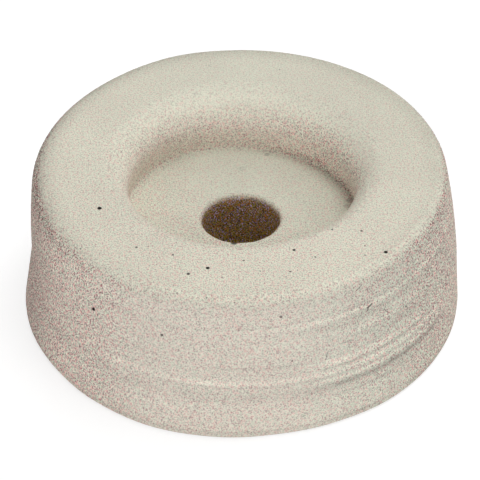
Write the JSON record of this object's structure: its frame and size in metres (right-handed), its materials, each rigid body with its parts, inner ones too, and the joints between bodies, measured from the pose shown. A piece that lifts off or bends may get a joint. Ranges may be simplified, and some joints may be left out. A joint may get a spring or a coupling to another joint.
{
  "type": "rubber bumper",
  "caption": "Round moulded rubber bumper that screws on as a door, drawer or furniture stop, with a recess for the screw head and a screw hole through the middle.",
  "frame": {"origin": "centre of the flat underside, on the axis of the screw hole", "axes": "+Z along the screw hole, from the underside up towards the recessed crown; X and Y lie in the underside"},
  "size_m": [0.0254, 0.0254, 0.0096],
  "materials": {
    "cream_rubber": "matte moulded cream rubber with a fine powdery grain"
  },
  "bodies": {
    "root": {"bumper": "cream_rubber"}
  },
  "joints": []
}
